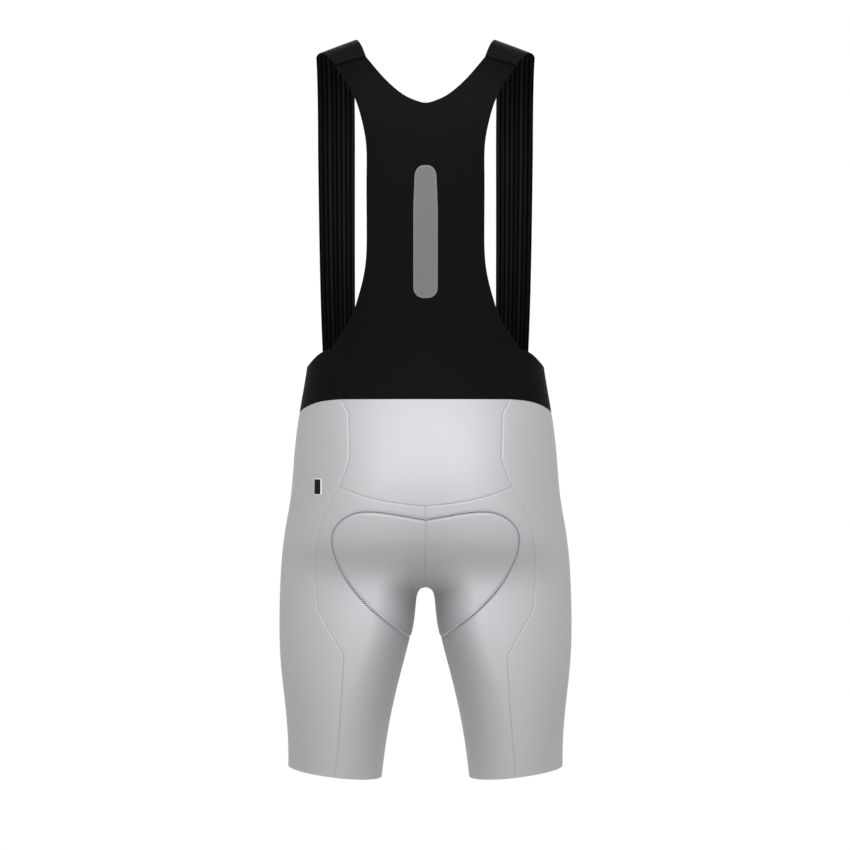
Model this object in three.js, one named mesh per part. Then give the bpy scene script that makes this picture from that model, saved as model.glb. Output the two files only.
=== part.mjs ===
// Cycling bib shorts, filled out as if worn, made of sewn cloth panels.
// Millimetres, +Z up. The wearer faces -Y, and the wearer's left is +X.
// Heights in the tables are measured up from the lowest point of the hems. The finished group is
// lowered by shoulderHeight, so the origin lies midway between the straps on top of the shoulders.
import * as THREE from "three";

// Cloth and seams
const clothThickness = 1.2;
const seamGap = 0.3; // between two panels that are sewn together
const bondGap = 0.3; // between a panel and what is bonded on it

// Strap elastic: plain outside, ribs on the face towards the wearer
const strapThickness = 1.2;
const strapRibs = 8;
const strapRibHeight = 0.9;

// Heights of the cut
const hemHeight = 9; // at the middle of a leg
const hemSlope = 0.12; // the hem is square to the leaning leg, so it rises outwards
const kneeCorner = 154.8; // where the back seam turns into the back of the leg
const thighCorner = 206;
const crotchHeight = 230.6;
const yokePoint = 330; // the yoke's lowest point, at the centre back
const yokeCorner = 353; // where the yoke meets the back seam
const hipCorner = 385;
const loinCorner = 439;
const bandHeight = 455; // grey meets black across the back
const strapFoot = 492; // the straps start from the front edge here
const chestHeight = 760; // the shoulders round over above this height

// The body's half section is made of quarter ellipses round the point (fullest, middle).
// side is the half width, back and front are how far the cloth reaches in Y.
const bodySections = [
  { height: 0, side: 165, fullest: 108, back: 63, front: -69, middle: -7 },
  { height: 45, side: 165.2, fullest: 106, back: 74, front: -77, middle: -7 },
  { height: 95, side: 169.2, fullest: 98, back: 84.5, front: -86, middle: -6 },
  { height: 142, side: 174, fullest: 84, back: 91, front: -93, middle: -5 },
  { height: 190, side: 175.4, fullest: 70, back: 90, front: -98, middle: -4 },
  { height: 228.6, side: 174.6, fullest: 64, back: 85, front: -100, middle: -4 },
  { height: 245, side: 173.9, fullest: 62, back: 86, front: -100.5, middle: -4 },
  { height: 262, side: 172.8, fullest: 60, back: 93, front: -101, middle: -4 },
  { height: 280, side: 171, fullest: 56, back: 105, front: -101.5, middle: -4 },
  { height: 300, side: 168.2, fullest: 52, back: 113.5, front: -102, middle: -4 },
  { height: 334, side: 162.4, fullest: 42, back: 118, front: -103, middle: -4 },
  { height: 394, side: 157, fullest: 20, back: 106.5, front: -105, middle: -3 },
  { height: 455, side: 148.6, fullest: 0, back: 89, front: -106, middle: -2 },
  { height: 520, side: 140, fullest: 0, back: 84, front: -106, middle: -1 },
  { height: 600, side: 149, fullest: 0, back: 91, front: -109, middle: 0 },
  { height: 690, side: 163, fullest: 0, back: 103, front: -112, middle: 0 },
  { height: 760, side: 170, fullest: 0, back: 108, front: -112, middle: 0 },
];

// Where the inner quarter ellipses would end: under the crotch this is the inner leg, and above it
// they run on past the middle of the body, to be joined there by the round of crotchRound.
const crotchRound = 24;
const innerReach = [
  { height: 0, back: 58, front: 58 },
  { height: 45, back: 52.8, front: 52.8 },
  { height: 94, back: 44.8, front: 44.8 },
  { height: 142, back: 35.3, front: 35.3 },
  { height: 166, back: 31, front: 31 },
  { height: 190, back: 28.1, front: 28.1 },
  { height: 214, back: 26.9, front: 26.9 },
  { height: 224, back: 26, front: 26 },
  { height: 230.6, back: 24, front: 24 },
  { height: 242, back: 14, front: 11 },
  { height: 252, back: 2, front: -4 },
  { height: 264, back: -20, front: -32 },
  { height: 280, back: -58, front: -75 },
  { height: 300, back: -105, front: -125 },
  { height: 350, back: -205, front: -220 },
  { height: 400, back: -260, front: -260 },
  { height: 760, back: -300, front: -300 },
];

// The long back seam, from the hem to the top of the black panels: x at each height.
// A corner row is a sharp turn, and the runs between corners are smooth.
const backSeam = [
  { height: 0, x: 107.5, corner: true },
  { height: 80, x: 100 },
  { height: kneeCorner, x: 96, corner: true },
  { height: thighCorner, x: 126.5, corner: true },
  { height: 235, x: 129.4 },
  { height: 291, x: 126.4 },
  { height: 318, x: 119 },
  { height: yokeCorner, x: 101.4 },
  { height: hipCorner, x: 89, corner: true },
  { height: loinCorner, x: 91, corner: true },
  { height: bandHeight, x: 100.5, corner: true },
  { height: 471, x: 99.6 },
  { height: 494, x: 103.5 },
  { height: 515, x: 112, corner: true },
];

// Edges given along a panel: share 0 is the centre back or the back seam, 1 the seam or centre front.
const yokeEdge = [
  { share: 0, height: yokePoint, corner: true },
  { share: 0.5, height: 337.5 },
  { share: 1, height: yokeCorner, corner: true },
];
const bandEdge = [
  { share: 0, height: bandHeight, corner: true },
  { share: 0.1, height: 452.5 },
  { share: 0.3, height: 439 },
  { share: 0.6, height: 430 },
  { share: 1, height: 428, corner: true },
];
const waistEdge = [
  { share: 0, height: 515, corner: true },
  { share: 0.09, height: 509 },
  { share: 0.2, height: 497 },
  { share: 0.29, height: strapFoot, corner: true },
  { share: 0.66, height: strapFoot, corner: true },
  { share: 0.8, height: 485 },
  { share: 1, height: 482, corner: true },
];

// The shoulders: a dome over the section at chestHeight.
const domeRise = 166.3; // where the shoulders' straight slopes would meet
const domeFall = 0.41; // their slope
const domeRound = 50; // rounds off where they meet
const shoulderSeamAngle = 49; // strap meets bib back, in degrees up from the back

// The bib back's outline above the black seams.
const bibEdge = [
  { height: 515, x: 112, corner: true },
  { height: 535, x: 98 },
  { height: 550, x: 88.5 },
  { height: 571, x: 80.5 },
  { height: 606, x: 71.6 },
  { height: 650, x: 69 },
  { height: 720, x: 69 },
  { height: 757, x: 70 },
  { height: 781, x: 74.7 },
  { height: 805, x: 82 },
  { height: 828, x: 93.5 },
];
const bibSplitHeight = 737; // the rows start to fan out towards the arms
const neckScoop = [
  { x: -10.5, height: 802.6 },
  { x: 0, height: 800.2 },
  { x: 10.5, height: 802.6 },
  { x: 24.5, height: 809.3 },
  { x: 39.7, height: 821.7 },
  { x: 51.5, height: 834.3 },
  { x: 61.8, height: 847.4 },
];

// The straps' edges: x up the front, and at the shoulder seam.
const strapEdges = [
  { height: strapFoot, inner: 86.5, outer: 124.5 },
  { height: 600, inner: 87.2, outer: 128.6 },
  { height: chestHeight, inner: 87.3, outer: 131.8 },
];
const strapSeam = { inner: 70.3, outer: 107 };
const strapLean = 80; // degrees over the shoulder where the straps start to lean to the neck

// The grey strip on the bib back
const strip = { low: 573, high: 727, halfWidth: 14.3, topTaper: 2, corner: 12, thickness: 1 };

// The patch on the wearer's left hip
const label = { x: 126, height: 352, width: 13, length: 20, corner: 3, thickness: 1 };

// A smooth curve through table rows: a natural cubic spline, broken at rows marked as corners.
function smoothCurve(rows, from, to) {
  const breaks = rows.map((row, i) => i).filter((i) => rows[i].corner);
  const ends = [...new Set([0, ...breaks, rows.length - 1])];
  const runs = ends.slice(1).map((end, i) => naturalSpline(rows.slice(ends[i], end + 1), from, to));
  return (value) => (runs.find((run) => value <= run.last) ?? runs.at(-1)).at(value);
}

function naturalSpline(rows, from, to) {
  const count = rows.length;
  const place = rows.map((row) => row[from]);
  const value = rows.map((row) => row[to]);
  const bend = new Array(count).fill(0); // second derivatives
  const sweep = new Array(count).fill(0);
  for (let i = 1; i < count - 1; i++) {
    const before = place[i] - place[i - 1];
    const after = place[i + 1] - place[i];
    const pivot = 2 * (before + after) - before * sweep[i - 1];
    const slopes = (value[i + 1] - value[i]) / after - (value[i] - value[i - 1]) / before;
    sweep[i] = after / pivot;
    bend[i] = (6 * slopes - before * bend[i - 1]) / pivot;
  }
  for (let i = count - 2; i > 0; i--) bend[i] -= sweep[i] * bend[i + 1];
  const at = (wanted) => {
    const inside = Math.min(Math.max(wanted, place[0]), place[count - 1]);
    let i = 0;
    while (i < count - 2 && inside > place[i + 1]) i++;
    const step = place[i + 1] - place[i];
    const a = (place[i + 1] - inside) / step;
    const b = 1 - a;
    const curved = ((a ** 3 - a) * bend[i] + (b ** 3 - b) * bend[i + 1]) * (step ** 2 / 6);
    return a * value[i] + b * value[i + 1] + curved;
  };
  return { last: place[count - 1], at };
}

const sideAt = smoothCurve(bodySections, "height", "side");
const fullestAt = smoothCurve(bodySections, "height", "fullest");
const backAt = smoothCurve(bodySections, "height", "back");
const frontAt = smoothCurve(bodySections, "height", "front");
const middleAt = smoothCurve(bodySections, "height", "middle");
const innerBackAt = smoothCurve(innerReach, "height", "back");
const innerFrontAt = smoothCurve(innerReach, "height", "front");
const backSeamAt = smoothCurve(backSeam, "height", "x");
const yokeEdgeAt = smoothCurve(yokeEdge, "share", "height");
const bandEdgeAt = smoothCurve(bandEdge, "share", "height");
const waistEdgeAt = smoothCurve(waistEdge, "share", "height");
const strapInnerAt = smoothCurve(strapEdges, "height", "inner");
const strapOuterAt = smoothCurve(strapEdges, "height", "outer");

// The bib back's outlines end where its arms meet the straps.
const bibEdgeEnd = { height: shoulderSeamHeight(strapSeam.outer), x: strapSeam.outer };
const neckScoopEnd = { height: shoulderSeamHeight(strapSeam.inner), x: strapSeam.inner };
const bibEdgeAt = smoothCurve([...bibEdge, bibEdgeEnd], "height", "x");
const neckScoopAt = smoothCurve([...neckScoop, neckScoopEnd], "x", "height");

function shoulderSeamHeight(x) {
  return strapSurface(x, chestHeight + 180 - shoulderSeamAngle).z;
}

// The half section at one height. Across the body it is drawn in reach = sqrt(x^2 + crotchRound^2),
// so both halves meet at x = 0 in one smooth round.
function sectionAt(height) {
  const fullest = Math.max(fullestAt(height), 0);
  const middle = middleAt(height);
  const outer = Math.hypot(sideAt(height), crotchRound) - fullest;
  const inner = (reach) => Math.max(fullest - reach, fullest - crotchRound, 1);
  const short = Math.max(crotchRound - fullest, 0) / outer;
  const lift = 1 / Math.sqrt(1 - short ** 2); // keeps the depth where the ellipse is cut at x = 0
  return {
    fullest,
    middle,
    outer,
    innerBack: inner(innerBackAt(height)),
    innerFront: inner(innerFrontAt(height)),
    closed: height < crotchHeight,
    gap: Math.max(innerBackAt(height), crotchRound),
    back: (backAt(height) - middle) * lift,
    front: (middle - frontAt(height)) * lift,
  };
}

// Angles run from the back (positive) over the outer side (0) to the front (negative).
function endAngle(section, inner) {
  if (section.closed) return Math.PI;
  if (section.fullest < crotchRound) {
    return Math.PI / 2 - Math.asin((crotchRound - section.fullest) / section.outer);
  }
  return Math.PI / 2 + Math.asin(Math.min((section.fullest - crotchRound) / inner, 1));
}

function innerLength(section, atBack) {
  if (section.closed) return section.fullest - section.gap;
  return atBack ? section.innerBack : section.innerFront;
}

function sectionPoint(section, angle) {
  const atBack = angle > 0;
  const across = Math.cos(angle);
  const length = across > 0 ? section.outer : innerLength(section, atBack);
  const reach = section.fullest + length * across;
  const x = Math.sqrt(Math.max(reach ** 2 - crotchRound ** 2, 0));
  const y = section.middle + (atBack ? section.back : section.front) * Math.sin(angle);
  return [x, y];
}

// The angle at a share of the way along the section from one angle to another.
const girthSteps = 60;
function angleAlong(section, from, to, share) {
  const angles = [from];
  const lengths = [0];
  let last = sectionPoint(section, from);
  for (let i = 1; i <= girthSteps; i++) {
    const angle = from + ((to - from) * i) / girthSteps;
    const point = sectionPoint(section, angle);
    lengths.push(lengths[i - 1] + Math.hypot(point[0] - last[0], point[1] - last[1]));
    angles.push(angle);
    last = point;
  }
  const wanted = share * lengths[girthSteps];
  let i = 0;
  while (i < girthSteps - 1 && lengths[i + 1] < wanted) i++;
  const part = (wanted - lengths[i]) / (lengths[i + 1] - lengths[i]);
  return angles[i] + (angles[i + 1] - angles[i]) * part;
}

// How far outside the body a point is, in its section's own measure: 0 on the cloth.
function outside(x, y, height) {
  const section = sectionAt(height);
  const reach = Math.hypot(x, crotchRound);
  const atBack = y > section.middle;
  const length = reach > section.fullest ? section.outer : innerLength(section, atBack);
  const across = (reach - section.fullest) / length;
  const along = (y - section.middle) / (atBack ? section.back : section.front);
  return Math.hypot(across, along);
}

const probe = 0.05;
function bodyNormal(x, y, height) {
  return new THREE.Vector3(
    outside(x + probe, y, height) - outside(x - probe, y, height),
    outside(x, y + probe, height) - outside(x, y - probe, height),
    outside(x, y, height + probe) - outside(x, y, height - probe),
  ).normalize();
}

function bodyPoint(angle, height) {
  const [x, y] = sectionPoint(sectionAt(height), angle);
  const position = new THREE.Vector3(x, y, height);
  // On the middle line the two halves mirror each other, so the normal has no sideways part.
  const normal = bodyNormal(x, y, height);
  if (x < 1e-6) normal.setX(0).normalize();
  return { position, normal };
}

// The angle of the point at x, on the back half or the front half of the section.
function angleAtX(section, x, atBack) {
  const across = Math.hypot(x, crotchRound) - section.fullest;
  const inner = innerLength(section, atBack);
  const past = Math.asin(Math.min(Math.max(-across / inner, 0), 1));
  const angle = across > 0 ? Math.acos(Math.min(across / section.outer, 1)) : Math.PI / 2 + past;
  return atBack ? angle : -angle;
}

// A zone's columns are spread on both sides of a turn, which keeps them upright near the crotch.
const backTurn = 0.5;
const frontTurn = 0.7;
const frontTurnX = 70;
function zonePoint(section, height, start, turn, end, turnShare, share) {
  const angle =
    share <= turnShare
      ? angleAlong(section, start, turn, share / turnShare)
      : angleAlong(section, turn, end, (share - turnShare) / (1 - turnShare));
  return bodyPoint(angle, height);
}

// A point of the back zone: share 0 is the centre back or inner leg, 1 the back seam.
function backZone(share, height) {
  const section = sectionAt(height);
  const start = endAngle(section, section.innerBack);
  const seam = angleAtX(section, backSeamAt(height), true);
  const turn = angleAtX(section, (sectionPoint(section, start)[0] + backSeamAt(height)) / 2, true);
  return zonePoint(section, height, start, turn, seam, backTurn, share);
}

// A point of the front zone: share 0 is the back seam, 1 the centre front or inner leg.
function frontZone(share, height) {
  const section = sectionAt(height);
  const seam = angleAtX(section, backSeamAt(height), true);
  const turn = angleAtX(section, Math.max(section.fullest, frontTurnX), false);
  const end = -endAngle(section, section.innerFront);
  return zonePoint(section, height, seam, turn, end, frontTurn, share);
}

function hemAt(zone) {
  const fullest = fullestAt(hemHeight);
  return (share) => hemHeight + hemSlope * (zone(share, hemHeight).position.x - fullest);
}

function domeRiseAt(x) {
  return domeRise - domeFall * Math.hypot(x, domeRound);
}

// The back above the chest is the dome; below, the ring sections.
function backY(x, height) {
  const side = Math.min(height, chestHeight);
  const spread = Math.sqrt(1 - (x / sideAt(side)) ** 2);
  const depth = (backAt(side) - middleAt(side)) * spread;
  if (height <= chestHeight) return middleAt(height) + depth;
  const up = Math.min((height - chestHeight) / domeRiseAt(x), 1);
  return middleAt(side) + depth * Math.sqrt(1 - up ** 2);
}

function bibPoint(x, height) {
  const slopeX = (backY(x + probe, height) - backY(x - probe, height)) / (2 * probe);
  const slopeZ = (backY(x, height + probe) - backY(x, height - probe)) / (2 * probe);
  return {
    position: new THREE.Vector3(x, backY(x, height), height),
    normal: new THREE.Vector3(-slopeX, 1, -slopeZ).normalize(),
  };
}

// A point of the strap's surface: route counts heights up the front to chestHeight, and then the
// degrees turned over the shoulder, towards the back.
function strapSurface(x, route) {
  const height = Math.min(route, chestHeight);
  const turn = (Math.max(route - chestHeight, 0) * Math.PI) / 180;
  const spread = Math.sqrt(1 - (x / sideAt(height)) ** 2);
  const depth = turn > Math.PI / 2 ? backAt(height) : -frontAt(height);
  const y = middleAt(height) - depth * spread * Math.cos(turn);
  return new THREE.Vector3(x, y, height + domeRiseAt(x) * Math.sin(turn));
}

function strapPoint(share, route) {
  const turned = route - chestHeight - strapLean;
  const lean = Math.max(turned / (180 - shoulderSeamAngle - strapLean), 0) ** 1.3;
  const inner = strapInnerAt(route) + (strapSeam.inner - strapInnerAt(route)) * lean;
  const outer = strapOuterAt(route) + (strapSeam.outer - strapOuterAt(route)) * lean;
  const x = inner + (outer - inner) * share;
  const acrossX = strapSurface(x + probe, route).sub(strapSurface(x - probe, route));
  const along = strapSurface(x, route + probe).sub(strapSurface(x, route - probe));
  return { position: strapSurface(x, route), normal: acrossX.cross(along).normalize() };
}

// A patch collects points and four-sided cells, and merges the points that cells share.
class Patch {
  points = [];
  cells = [];
  places = new Map();

  add({ position, normal }, outer = 0, inner = clothThickness) {
    const key = position.toArray().map((value) => Math.round(value * 100)).join();
    if (!this.places.has(key)) {
      this.places.set(key, this.points.length);
      this.points.push({ position: position.clone(), normal: normal.clone(), outer, inner });
    }
    return this.places.get(key);
  }

  // Lays a grid: pointAt gets the column and the row, and returns what add takes.
  grid(columns, rows, pointAt) {
    const at = [];
    for (let row = 0; row <= rows; row++) {
      at.push([]);
      for (let column = 0; column <= columns; column++) {
        at[row].push(this.add(...[pointAt(column, row)].flat()));
      }
    }
    for (let row = 0; row < rows; row++) {
      for (let column = 0; column < columns; column++) {
        this.cell(at[row][column], at[row][column + 1], at[row + 1][column + 1], at[row + 1][column]);
      }
    }
  }

  // Adds a cell with its face turned outwards.
  cell(a, b, c, d) {
    const [p, q, r, s] = [a, b, c, d].map((i) => this.points[i].position);
    const facing = r.clone().sub(p).cross(s.clone().sub(q));
    const turned = facing.dot(this.points[a].normal.clone().add(this.points[c].normal)) < 0;
    this.cells.push(turned ? [d, c, b, a] : [a, b, c, d]);
  }

  // The edges that only one cell has, each with its start and end.
  rim() {
    const edges = new Map();
    for (const cell of this.cells) {
      cell.forEach((start, i) => edges.set(`${start},${cell[(i + 1) % 4]}`, [start, cell[(i + 1) % 4]]));
    }
    return [...edges.values()].filter(([start, end]) => !edges.has(`${end},${start}`));
  }

  // Draws the rim in by half a seam gap, along the cloth.
  drawIn(distance) {
    const pulls = new Map();
    for (const [start, end] of this.rim()) {
      const along = this.points[end].position.clone().sub(this.points[start].position).normalize();
      for (const i of [start, end]) {
        const pull = this.points[i].normal.clone().cross(along).normalize();
        pulls.set(i, [...(pulls.get(i) ?? []), pull]);
      }
    }
    for (const [i, [first, second]] of pulls) {
      const both = first.clone().add(second);
      this.points[i].position.addScaledVector(both, distance / Math.max(1 + first.dot(second), 0.5));
    }
  }

  // The closed wall: the outer face, the inner face and the edge between them.
  wall() {
    this.drawIn(seamGap / 2);
    const lift = ({ position, normal }, distance) => position.clone().addScaledVector(normal, distance);
    const outer = this.points.map((point) => lift(point, point.outer));
    const inner = this.points.map((point) => lift(point, -point.inner));
    const below = this.points.length;
    const faces = [];
    for (const [a, b, c, d] of this.cells) {
      faces.push(a, b, c, a, c, d);
      faces.push(below + a, below + c, below + b, below + a, below + d, below + c);
    }
    for (const [start, end] of this.rim()) {
      faces.push(start, below + start, end, end, below + start, below + end);
    }
    const geometry = new THREE.BufferGeometry();
    const places = [...outer, ...inner].flatMap((point) => point.toArray());
    geometry.setAttribute("position", new THREE.Float32BufferAttribute(places, 3));
    geometry.setIndex(faces);
    geometry.computeVertexNormals();
    return geometry;
  }
}

const even = (t) => t;
const crowdedStart = (t) => t ** 2; // rows close together at the start of a band
const crowdedEnd = (t) => 1 - (1 - t) ** 2;
const level = (height) => () => height;

// Lays bands of rows on a zone, each from one edge line to the next. The lines give a height for a
// share of the way across, and mirrored zones take negative shares.
function layBands(patch, zone, shares, bands) {
  for (const { from, to, rows, spacing } of bands) {
    patch.grid(shares.length - 1, rows, (column, row) => {
      const share = Math.abs(shares[column]);
      const low = from(share);
      const point = zone(share, low + (to(share) - low) * spacing(row / rows));
      return shares[column] < 0 ? mirrored(point) : point;
    });
  }
}

function mirrored({ position, normal }) {
  const flip = new THREE.Vector3(-1, 1, 1);
  return { position: position.clone().multiply(flip), normal: normal.clone().multiply(flip) };
}

const sharesTo = (count) => Array.from({ length: count + 1 }, (unused, i) => i / count);
const sharesAcross = (count) => sharesTo(2 * count).map((share) => 2 * share - 1);

// Colours and finishes
const paleKnit = new THREE.MeshStandardMaterial({ color: 0xd3d4d6, roughness: 0.55, metalness: 0 });
const blackKnit = new THREE.MeshStandardMaterial({ color: 0x151515, roughness: 0.7, metalness: 0 });
const blackElastic = new THREE.MeshStandardMaterial({ color: 0x121212, roughness: 0.6, metalness: 0 });
const greyStrip = new THREE.MeshStandardMaterial({ color: 0x7c7c7c, roughness: 0.5, metalness: 0 });
const blackPatch = new THREE.MeshStandardMaterial({ color: 0x0d0d0d, roughness: 0.45, metalness: 0 });

const garment = new THREE.Group();

function addPanel(name, geometry, material, side = 1) {
  const panel = new THREE.Mesh(geometry, material);
  panel.name = name;
  panel.scale.x = side;
  garment.add(panel);
}

// Leg back: from the hem to the yoke, and from the inner leg and centre back to the back seam.
const backColumns = 10;
function legBack() {
  const patch = new Patch();
  layBands(patch, backZone, sharesTo(backColumns), [
    { from: hemAt(backZone), to: level(kneeCorner), rows: 6, spacing: even },
    { from: level(kneeCorner), to: level(thighCorner), rows: 3, spacing: even },
    { from: level(thighCorner), to: level(crotchHeight), rows: 3, spacing: crowdedEnd },
    { from: level(crotchHeight), to: yokeEdgeAt, rows: 9, spacing: crowdedStart },
  ]);
  return patch.wall();
}

// Leg front: from the back seam round the outer side to the centre front and inner leg.
const frontColumns = 20;
function legFront() {
  const patch = new Patch();
  layBands(patch, frontZone, sharesTo(frontColumns), [
    { from: hemAt(frontZone), to: level(kneeCorner), rows: 6, spacing: even },
    { from: level(kneeCorner), to: level(thighCorner), rows: 3, spacing: even },
    { from: level(thighCorner), to: level(crotchHeight), rows: 3, spacing: crowdedEnd },
    { from: level(crotchHeight), to: level(yokeCorner), rows: 9, spacing: crowdedStart },
    { from: level(yokeCorner), to: level(hipCorner), rows: 2, spacing: even },
    { from: level(hipCorner), to: (share) => loinCorner + frontLoinFall(share), rows: 3, spacing: even },
    { from: (share) => loinCorner + frontLoinFall(share), to: bandEdgeAt, rows: 1, spacing: even },
  ]);
  return patch.wall();
}

// The last rows of the leg front sink with the band's edge, so none of them crosses it.
function frontLoinFall(share) {
  return (bandEdgeAt(share) - bandHeight) * 0.9;
}

function backYoke() {
  const patch = new Patch();
  layBands(patch, backZone, sharesAcross(backColumns), [
    { from: yokeEdgeAt, to: level(hipCorner), rows: 3, spacing: even },
    { from: level(hipCorner), to: level(loinCorner), rows: 3, spacing: even },
    { from: level(loinCorner), to: level(bandHeight), rows: 1, spacing: even },
  ]);
  return patch.wall();
}

// The black front: both front zones in one piece, joined at the centre front.
function waistFront() {
  const patch = new Patch();
  for (const side of [1, -1]) {
    const shares = sharesTo(frontColumns).map((share) => side * Math.max(share, 1e-9));
    layBands(patch, frontZone, shares, [{ from: bandEdgeAt, to: waistEdgeAt, rows: 3, spacing: even }]);
  }
  return patch.wall();
}

// The bib back: level rows to bibSplitHeight, then rows that fan out along the neck scoop.
const bibColumns = 6;
function bibBack() {
  const patch = new Patch();
  const outline = (height) => (height < 515 ? backSeamAt(height) : bibEdgeAt(height));
  const levels = [455, 475, 495, 515, 524, 535, 550, 571, 588, 606, 628, 650, 685, 720, bibSplitHeight];
  patch.grid(2 * bibColumns, levels.length - 1, (column, row) => {
    const share = column / bibColumns - 1;
    return bibPoint(share * outline(levels[row]), levels[row]);
  });
  const outerHeights = [bibSplitHeight, 750, 763, 777, 790, 802, 813, 823, 832, 841, bibEdgeEnd.height];
  const neckXs = [0, 0, 0, 0, 11, 24, 37, 48, 58, 65, neckScoopEnd.x];
  const centreHeights = [bibSplitHeight, 760, 781, neckScoopAt(0)];
  for (const side of [1, -1]) {
    patch.grid(bibColumns, outerHeights.length - 1, (column, row) => {
      const share = column / bibColumns;
      const innerX = neckXs[row];
      const innerHeight = centreHeights[row] ?? neckScoopAt(innerX);
      const x = innerX + (bibEdgeAt(outerHeights[row]) - innerX) * share;
      return bibPoint(side * x, innerHeight + (outerHeights[row] - innerHeight) * share);
    });
  }
  return patch.wall();
}

// A strap: two columns for each rib, and rows up the front and over the shoulder.
function strap() {
  const patch = new Patch();
  const columns = 2 * strapRibs;
  const seamRoute = chestHeight + 180 - shoulderSeamAngle;
  const climb = [0, 1, 2, 3, 4, 5].map((i) => strapFoot + ((chestHeight - strapFoot) * i) / 6);
  const turn = [0, 15, 30, 45, 58, 70, 80, 89, 98, 108, 119].map((degrees) => chestHeight + degrees);
  const routes = [...climb, ...turn, seamRoute];
  patch.grid(columns, routes.length - 1, (column, row) => {
    const rib = column % 2 === 1 ? strapRibHeight : 0;
    return [strapPoint(column / columns, routes[row]), 0, strapThickness + rib];
  });
  return patch.wall();
}

// The half width of a plate with round corners, at a distance from its end.
function roundedHalf(half, corner, fromEnd) {
  const into = corner - Math.min(fromEnd, corner);
  return half - corner + Math.sqrt(corner ** 2 - into ** 2);
}

// The places of rows from one end of such a plate to the other, closer at its corners.
function plateRows(length, corner) {
  const start = [0, 0.08, 0.3, 0.6, 1].map((share) => share * corner);
  const middle = [0.25, 0.5, 0.75].map((share) => corner + (length - 2 * corner) * share);
  return [...start, ...middle, ...start.map((place) => length - place).reverse()];
}

function backStrip() {
  const patch = new Patch();
  const rows = plateRows(strip.high - strip.low, strip.corner);
  patch.grid(4, rows.length - 1, (column, row) => {
    const fromTop = strip.high - strip.low - rows[row];
    const taper = strip.topTaper * Math.max(1 - fromTop / 50, 0);
    const half = roundedHalf(strip.halfWidth - taper, strip.corner, Math.min(rows[row], fromTop));
    const point = bibPoint((column / 2 - 1) * half, strip.low + rows[row]);
    return [point, bondGap + strip.thickness, -bondGap];
  });
  return patch.wall();
}

function hipLabel() {
  const patch = new Patch();
  const { outer, back } = sectionAt(label.height);
  const slant = Math.hypot(outer, back) / Math.SQRT2; // length for each radian here
  const rows = plateRows(label.length, label.corner);
  patch.grid(4, rows.length - 1, (column, row) => {
    const half = roundedHalf(label.width / 2, label.corner, Math.min(rows[row], label.length - rows[row]));
    const height = label.height - label.length / 2 + rows[row];
    const centre = angleAtX(sectionAt(height), label.x, true);
    const point = bodyPoint(centre + ((column / 2 - 1) * half) / slant, height);
    return [point, bondGap + label.thickness, -bondGap];
  });
  return patch.wall();
}

const legBackWall = legBack();
const legFrontWall = legFront();
const strapWall = strap();
addPanel("back_left", legBackWall, paleKnit);
addPanel("back_right", legBackWall, paleKnit, -1);
addPanel("front_left", legFrontWall, paleKnit);
addPanel("front_right", legFrontWall, paleKnit, -1);
addPanel("back_yoke", backYoke(), paleKnit);
addPanel("waist_front", waistFront(), blackKnit);
addPanel("bib_back", bibBack(), blackKnit);
addPanel("strap_left", strapWall, blackElastic);
addPanel("strap_right", strapWall, blackElastic, -1);
addPanel("back_strip", backStrip(), greyStrip);
addPanel("hip_label", hipLabel(), blackPatch);

// The origin: the straps' undersides, halfway across them, on top of the shoulders.
const shoulderHeight = strapPoint(0.5, chestHeight + 90).position.z - strapThickness;
garment.position.z = -shoulderHeight;

export default garment;
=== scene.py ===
# Cycling bib shorts seen from behind, filled out as if worn: satin grey legs, a matt black bib
# back and front edge, ribbed elastic straps. Shapes are worked out in millimetres, with heights
# up from the hems, and put in metres round the shoulders when a mesh is made.
import bpy
import numpy as np
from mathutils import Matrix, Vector


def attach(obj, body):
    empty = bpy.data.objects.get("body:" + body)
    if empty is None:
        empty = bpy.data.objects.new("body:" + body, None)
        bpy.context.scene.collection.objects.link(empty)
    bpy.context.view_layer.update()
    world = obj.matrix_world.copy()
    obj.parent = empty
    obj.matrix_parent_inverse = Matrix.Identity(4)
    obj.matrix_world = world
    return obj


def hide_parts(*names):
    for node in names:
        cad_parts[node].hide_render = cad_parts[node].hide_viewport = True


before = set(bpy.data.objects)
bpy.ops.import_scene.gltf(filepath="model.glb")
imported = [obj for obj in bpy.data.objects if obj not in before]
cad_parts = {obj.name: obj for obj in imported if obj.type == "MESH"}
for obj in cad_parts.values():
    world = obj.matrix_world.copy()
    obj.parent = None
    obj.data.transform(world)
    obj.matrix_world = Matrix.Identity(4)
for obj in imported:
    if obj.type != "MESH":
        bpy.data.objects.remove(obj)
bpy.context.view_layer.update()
print("frame loaded")

cut = {
    "cloth": 1.2,           # thickness of the cloth
    "hemHeight": 9, "hemSlope": 0.12,
    "kneeCorner": 154.8, "thighCorner": 206, "crotch": 230.6, "crotchRound": 24,
    "yokeCorner": 353, "hipCorner": 385, "loinCorner": 439, "band": 455,
    "strapFoot": 492, "waistTop": 515, "bibSplit": 737, "chest": 760,
    "domeRise": 166.3, "domeFall": 0.41, "domeRound": 50,
    "shoulderSeam": 49,     # degrees up from the back
    "strapLean": 80,        # degrees over the shoulder where the straps lean to the neck
    "strapBend": 1.3,       # power of that lean: 1 would be a straight slant
    "seatRow": 55,          # a level row of points, this far above the crotch
    "backTurn": 0.5,        # share of the back panels where the section's rows turn
    "frontTurn": 0.7,       # the same on the front panels, and its least distance out
    "frontReach": 70,
}
probe = 0.05                # step for slopes, in millimetres or degrees


def table(columns, rows):
    # Named columns of a table, each as one array
    return dict(zip(columns.split(), np.array(rows, float).T))


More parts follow.
